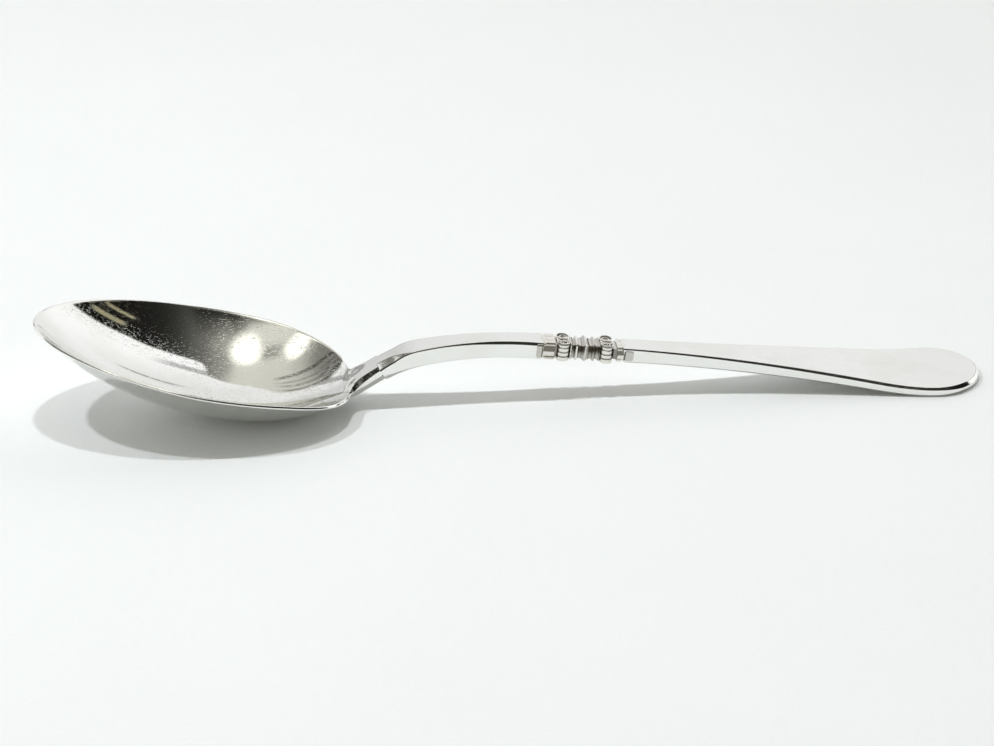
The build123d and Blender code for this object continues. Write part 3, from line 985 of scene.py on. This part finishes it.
roomLook = {
    "walls": (1.14, 0.89), "front": 0.03, "farFront": 0.3, "lowFront": 0.5, "edge": 0.02,
    "nearTone": (1, 0.985, 0.89), "wallTone": (1, 1, 1), "warmTone": (1, 0.92, 0.55),
    # from and to where each change of light runs: walls, nearer part, dark band at the front, lamps
    "wallRun": (0.3, 0.95), "lowRun": (0.36, 0.5), "nearRun": (-0.6, -0.1), "heelRun": (-0.12, -0.02),
    "farRun": (-0.88, -0.78), "frontRun": (-0.6, -0.46), "sideRun": (-0.7, -0.6),
    "lowFrontRun": (-0.6, -0.4), "frontRise": (0.3, 0.44), "lampRun": (0.1, 2.2),
    # where the back walls begin
    "back": ((-1, -0.1), (-0.5, 0.45), (-0.4, 0.58), (-0.345, 0.64), (-0.295, 0.71), (-0.24, 0.745),
             (-0.15, 0.775), (-0.05, 0.77), (0, 0.735), (0.06, 0.7), (0.1, 0.655), (0.175, 0.63), (0.24, 0.6),
             (0.29, 0.54), (0.325, 0.36), (0.36, 0.25), (0.42, 0.22), (0.5, 0.2), (0.6, 0.165), (0.65, 0.14),
             (0.8, 0.13), (1, 0.05)),
    # how bright the nearer part is, how that changes to the front, and how the walls dim low down
    "near": ((-1, 0.36), (-0.58, 0.36), (-0.5, 0.16), (-0.44, 0.2), (-0.34, 0.24), (-0.27, 0.42), (-0.2, 0.6),
             (-0.1, 0.7), (0, 0.7), (0.1, 0.74), (0.18, 0.74), (0.22, 0.6), (0.26, 0.38), (0.3, 0.26),
             (0.34, 0.18), (0.4, 0.12), (0.46, 0.06), (0.52, 0.03), (0.58, 0.018), (1, 0.018)),
    "nearFront": ((-1, 1), (-0.1, 1.2), (0, 1.15), (0.1, 0.6), (0.19, 0.06), (0.3, 0.06), (0.4, 0.4),
                  (0.6, 1), (1, 1)),
    "low": ((-1, 0.8), (-0.42, 0.82), (-0.33, 0.81), (-0.25, 0.8), (-0.17, 0.82), (-0.08, 0.88),
            (0, 1), (1, 1)),
    # patches are given by middle, half size and softness; it is darker between the lamps,
    # and a grey strip and a thin dark line cross the walls slantwise to the right
    "between": ((-0.02, 0.07, 0.05), (-0.12, 0.12, 0.08), 0.45),
    "strip": (0.42, (0.61, 0.045, 0.015), (0.42, 0.53), 0.55),
    "line": (0.4, (0.937, 0.008, 0.008), (0.37, 0.09, 0.03), 0.7),
    # place, half width and strength of each fold; middle, half size, lean and strength of each lamp,
    # and without a lean, of the two warm lights
    "folds": ((-0.03, 0.012, 0.65), (-0.085, 0.01, 0.55), (-0.135, 0.01, 0.5), (-0.25, 0.035, 0.6)),
    "lamps": (((0.13, -0.13), (0.085, 0.24), 0.12, 1.7), ((-0.18, -0.114), (0.058, 0.2), 0.0, 1.7)),
    "warm": (((0.74, -0.03), (0.055, 0.03), 0.42), ((0.71, -0.165), (0.05, 0.018), 0.45)),
}


def makeRoom():
    look = roomLook
    world = bpy.data.worlds.new("room")
    scene.world = world
    world.use_nodes = True
    tree = world.node_tree
    view = newNode(tree, "ShaderNodeTexCoord", {})
    x, y, z = newNode(tree, "ShaderNodeSeparateXYZ", {0: view.outputs["Generated"]}).outputs

    def figure(operation, *values):
        return newNode(tree, "ShaderNodeMath", dict(enumerate(values)), operation=operation).outputs[0]

    def times(a, b):
        return figure("MULTIPLY", a, b)

    # a smooth change from the first value to the last
    def band(value, low, high, first, last):
        ends = {"Value": value, "From Min": low, "From Max": high, "To Min": first, "To Max": last}
        return newNode(tree, "ShaderNodeMapRange", ends, interpolation_type="SMOOTHSTEP").outputs[0]

    share = figure("MULTIPLY_ADD", x, 0.5, 0.5)

    # a value that changes from left to right across the room
    def fromLeft(places):
        node = newNode(tree, "ShaderNodeFloatCurve", {"Value": share})
        node.mapping.use_clip = False
        points = node.mapping.curves[0].points
        while len(points) < len(places):
            points.new(0, 0)
        for point, (place, value) in zip(points, places):
            point.location = (place / 2 + 0.5, value)
        node.mapping.update()
        return node.outputs[0]

    # 1 inside a patch of the given half size, 0 outside it
    def patch(value, middle, half, soft):
        off = figure("ABSOLUTE", figure("SUBTRACT", value, middle))
        return band(off, half - soft, half + soft, 1.0, 0.0)

    def dimmed(value, where, strength):
        return times(value, figure("SUBTRACT", 1.0, times(where, strength)))

    depth = figure("SUBTRACT", y, fromLeft(look["back"]))
    near = band(y, *look["nearRun"], fromLeft(look["nearFront"]), 1.0)
    near = times(fromLeft(look["near"]), near)
    heel = band(x, *look["heelRun"], 1.0, 0.0)  # folds of a curtain, seen only at the heel
    for middle, half, strength in look["folds"]:
        near = dimmed(near, times(patch(depth, middle, half, 0.012), heel), strength)
    across, back, strength = look["between"]
    near = dimmed(near, times(patch(x, *across), patch(y, *back)), strength)
    walls = band(y, *look["wallRun"], *look["walls"])
    lean, place, reach, strength = look["strip"]
    slant = figure("MULTIPLY_ADD", x, lean, y)
    strip = times(patch(slant, *place), band(x, *reach, 1.0, 0.0))
    walls = dimmed(walls, strip, strength)
    lean, place, across, strength = look["line"]
    slant = figure("MULTIPLY_ADD", x, lean, y)
    walls = dimmed(walls, times(patch(slant, *place), patch(x, *across)), strength)
    walls = times(walls, band(z, *look["lowRun"], fromLeft(look["low"]), 1.0))
    level = band(depth, -look["edge"], look["edge"], near, walls)
    front = band(y, *look["farRun"], look["farFront"], look["front"])  # a dark band to the front
    front = band(y, *look["frontRun"], front, level)
    front = band(x, *look["sideRun"], level, front)
    low = band(y, *look["lowFrontRun"], look["lowFront"], level)
    level = band(z, *look["frontRise"], low, front)
    warmth = None
    for (acrossAt, backAt), (acrossHalf, backHalf), strength in look["warm"]:
        spot = times(patch(x, acrossAt, acrossHalf, 0.015), patch(y, backAt, backHalf, 0.012))
        level = band(spot, 0.0, 1.0, level, strength)
        warmth = spot if warmth is None else figure("MAXIMUM", warmth, spot)
    for (acrossAt, backAt), (acrossHalf, backHalf), lean, strength in look["lamps"]:
        back = figure("SUBTRACT", y, backAt)
        across = figure("SUBTRACT", figure("SUBTRACT", x, acrossAt), times(back, lean))
        back, across = figure("DIVIDE", back, backHalf), figure("DIVIDE", across, acrossHalf)
        far = figure("ADD", times(back, back), times(across, across))
        level = band(far, *look["lampRun"], strength, level)
    onWalls = band(depth, -look["edge"], look["edge"], 0.0, 1.0)
    colour = tint(tree, onWalls, look["nearTone"], look["wallTone"])
    colour = tint(tree, warmth, colour, look["warmTone"])
    background = tree.nodes["Background"]
    tree.links.new(colour, background.inputs["Color"])
    tree.links.new(level, background.inputs["Strength"])


makeRoom()

lampLook = {
    "towards": {"leftLamp": (-8.5, 0.75, 15), "overheadLamp": (-0.8, 0.75, 15)},
    "distance": 0.6, "power": 0.98, "size": 0.03, "colour": (0.93, 0.97, 1),
}
for name, towards in lampLook["towards"].items():
    lamp = bpy.data.lights.new(name, "AREA")
    lamp.shape = "DISK"
    lamp.size = lampLook["size"]
    lamp.energy = lampLook["power"]
    lamp.color = lampLook["colour"]
    holder = bpy.data.objects.new(name, lamp)
    towards = Vector(towards).normalized()
    holder.location = towards * lampLook["distance"]
    holder.rotation_euler = towards.to_track_quat("Z", "Y").to_euler()
    holder.visible_glossy = False  # the room's own lamps are what the silver mirrors
    scene.collection.objects.link(holder)

# camera at the photograph's angle

cameraLook = {
    "elevation": 27.43, "turn": 5.58, "distance": 0.5,
    "lens": 126.45, "sensor": 36, "shift": (-0.01683, 0.02178), "nearest": 0.01,
}
tiltDown, turn = math.radians(cameraLook["elevation"]), math.radians(cameraLook["turn"])
aim = Vector((math.sin(turn) * math.cos(tiltDown), math.cos(turn) * math.cos(tiltDown), -math.sin(tiltDown)))
camera = bpy.data.objects.new("camera", bpy.data.cameras.new("camera"))
camera.data.lens = cameraLook["lens"]
camera.data.sensor_width = cameraLook["sensor"]
camera.data.shift_x, camera.data.shift_y = cameraLook["shift"]
camera.data.clip_start = cameraLook["nearest"]
camera.location = -cameraLook["distance"] * aim
camera.rotation_euler = aim.to_track_quat("-Z", "Y").to_euler()
scene.collection.objects.link(camera)
scene.camera = camera
scene.view_settings.view_transform = "Standard"
print("stage, lamps and camera set")
